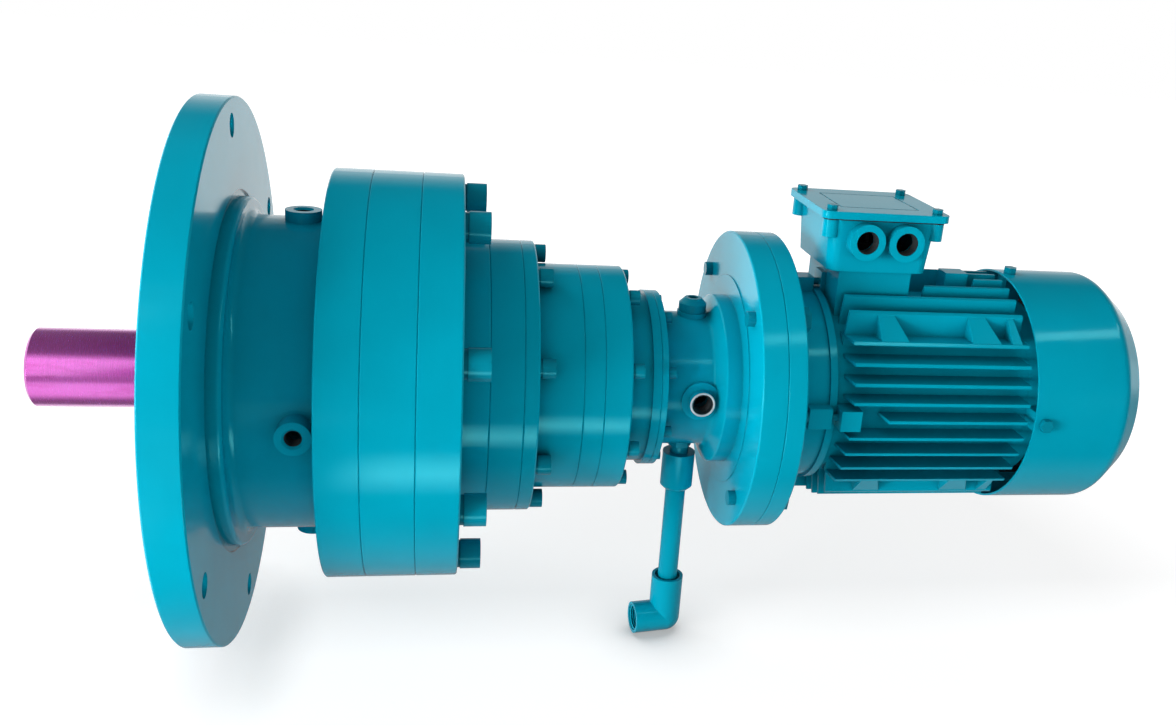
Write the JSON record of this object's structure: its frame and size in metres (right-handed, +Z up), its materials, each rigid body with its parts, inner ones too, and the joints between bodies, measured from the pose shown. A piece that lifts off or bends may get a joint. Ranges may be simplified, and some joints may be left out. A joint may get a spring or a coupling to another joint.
{
  "type": "planetary gear motor",
  "caption": "Flange-mounted in-line planetary gear motor: stepped gearbox with keyed output shaft and oil pipe, finned electric motor with fan cowl and terminal box.",
  "frame": {"origin": "centre of the output flange's mounting face, on the shaft axis", "axes": "+X along the shaft from the driven machine towards the motor, +Z up towards the terminal box, -Y towards the side of the cable entries"},
  "size_m": [0.875, 0.42, 0.454],
  "materials": {
    "body_paint": "gloss enamel",
    "screw_paint": "gloss enamel over socket and hexagon heads",
    "shaft_coating": "glossy peelable protective lacquer",
    "bright_steel": "ground",
    "gear_steel": "hardened, oiled",
    "core_steel": "stacked laminations",
    "copper_wire": "enamelled copper",
    "black_rubber": "matt",
    "black_plastic": "moulded"
  },
  "bodies": {
    "housing": {"output_housing": "body_paint", "ring_gear_3": "body_paint", "ring_gear_2": "body_paint", "ring_gear_1": "body_paint", "stage_cover_3": "body_paint", "stage_cover_2": "body_paint", "stage_cover_1": "body_paint", "input_adapter": "body_paint", "housing_screws_3": "screw_paint", "housing_screws_2": "screw_paint", "housing_screws_1": "screw_paint", "adapter_screws": "screw_paint", "output_oil_seal": "black_rubber", "gearbox_bearing_outer_rings": "bright_steel", "filler_plug": "screw_paint", "pipe_nipple": "body_paint", "pipe_coupling": "body_paint", "oil_pipe": "body_paint", "pipe_elbow": "body_paint", "motor_flange_bolts": "screw_paint", "drive_end_shield": "body_paint", "motor_frame": "body_paint", "end_screws": "screw_paint", "stator_core": "core_steel", "stator_windings": "copper_wire", "rear_end_shield": "body_paint", "motor_bearing_outer_rings": "bright_steel", "fan_cowl": "body_paint", "cowl_screws": "screw_paint", "terminal_box": "body_paint", "lid_gasket": "black_rubber", "terminal_lid": "body_paint", "lid_screws": "screw_paint", "terminal_block": "black_plastic"},
    "output": {"output_shaft": "shaft_coating", "output_bearing_inner_rings": "bright_steel", "planet_carrier_3": "gear_steel", "planet_pins_3": "bright_steel"},
    "carrier_2": {"planet_carrier_2": "gear_steel", "planet_pins_2": "bright_steel", "sun_gear_3": "gear_steel"},
    "carrier_1": {"planet_carrier_1": "gear_steel", "planet_pins_1": "bright_steel", "sun_gear_2": "gear_steel"},
    "rotor": {"sun_gear_1": "gear_steel", "coupling_sleeve": "bright_steel", "motor_shaft": "bright_steel", "rotor_core": "core_steel", "cooling_fan": "black_plastic", "rotor_bearing_inner_rings": "bright_steel"},
    "planet_3_1": {"planet_gear_3_1": "gear_steel"},
    "planet_3_2": {"planet_gear_3_2": "gear_steel"},
    "planet_3_3": {"planet_gear_3_3": "gear_steel"},
    "planet_2_1": {"planet_gear_2_1": "gear_steel"},
    "planet_2_2": {"planet_gear_2_2": "gear_steel"},
    "planet_2_3": {"planet_gear_2_3": "gear_steel"},
    "planet_1_1": {"planet_gear_1_1": "gear_steel"},
    "planet_1_2": {"planet_gear_1_2": "gear_steel"},
    "planet_1_3": {"planet_gear_1_3": "gear_steel"}
  },
  "joints": [
    {"name": "rotor_turn", "type": "hinge", "parent": "housing", "child": "rotor", "pos_m": [0.58, 0, 0], "axis": [1, 0, 0], "continuous": true},
    {"name": "carrier_1_turn", "type": "hinge", "parent": "housing", "child": "carrier_1", "pos_m": [0.27, 0, 0], "axis": [1, 0, 0], "continuous": true},
    {"name": "carrier_2_turn", "type": "hinge", "parent": "housing", "child": "carrier_2", "pos_m": [0.19, 0, 0], "axis": [1, 0, 0], "continuous": true},
    {"name": "output_turn", "type": "hinge", "parent": "housing", "child": "output", "pos_m": [0, 0, 0], "axis": [1, 0, 0], "continuous": true},
    {"name": "planet_3_1_turn", "type": "hinge", "parent": "output", "child": "planet_3_1", "pos_m": [0.1445, 0, 0.075], "axis": [1, 0, 0], "continuous": true},
    {"name": "planet_3_2_turn", "type": "hinge", "parent": "output", "child": "planet_3_2", "pos_m": [0.1445, -0.06495, -0.0375], "axis": [1, 0, 0], "continuous": true},
    {"name": "planet_3_3_turn", "type": "hinge", "parent": "output", "child": "planet_3_3", "pos_m": [0.1445, 0.06495, -0.0375], "axis": [1, 0, 0], "continuous": true},
    {"name": "planet_2_1_turn", "type": "hinge", "parent": "carrier_2", "child": "planet_2_1", "pos_m": [0.2265, 0, 0.0525], "axis": [1, 0, 0], "continuous": true},
    {"name": "planet_2_2_turn", "type": "hinge", "parent": "carrier_2", "child": "planet_2_2", "pos_m": [0.2265, -0.04547, -0.02625], "axis": [1, 0, 0], "continuous": true},
    {"name": "planet_2_3_turn", "type": "hinge", "parent": "carrier_2", "child": "planet_2_3", "pos_m": [0.2265, 0.04547, -0.02625], "axis": [1, 0, 0], "continuous": true},
    {"name": "planet_1_1_turn", "type": "hinge", "parent": "carrier_1", "child": "planet_1_1", "pos_m": [0.293, 0, 0.045], "axis": [1, 0, 0], "continuous": true},
    {"name": "planet_1_2_turn", "type": "hinge", "parent": "carrier_1", "child": "planet_1_2", "pos_m": [0.293, -0.03897, -0.0225], "axis": [1, 0, 0], "continuous": true},
    {"name": "planet_1_3_turn", "type": "hinge", "parent": "carrier_1", "child": "planet_1_3", "pos_m": [0.293, 0.03897, -0.0225], "axis": [1, 0, 0], "continuous": true}
  ],
  "couplings": [
    {"joint": "carrier_1_turn", "follows": "rotor_turn", "ratio": 0.2},
    {"joint": "carrier_2_turn", "follows": "rotor_turn", "ratio": 0.04},
    {"joint": "output_turn", "follows": "rotor_turn", "ratio": 0.008},
    {"joint": "planet_3_1_turn", "follows": "rotor_turn", "ratio": -0.021333},
    {"joint": "planet_3_2_turn", "follows": "rotor_turn", "ratio": -0.021333},
    {"joint": "planet_3_3_turn", "follows": "rotor_turn", "ratio": -0.021333},
    {"joint": "planet_2_1_turn", "follows": "rotor_turn", "ratio": -0.10667},
    {"joint": "planet_2_2_turn", "follows": "rotor_turn", "ratio": -0.10667},
    {"joint": "planet_2_3_turn", "follows": "rotor_turn", "ratio": -0.10667},
    {"joint": "planet_1_1_turn", "follows": "rotor_turn", "ratio": -0.53333},
    {"joint": "planet_1_2_turn", "follows": "rotor_turn", "ratio": -0.53333},
    {"joint": "planet_1_3_turn", "follows": "rotor_turn", "ratio": -0.53333}
  ]
}
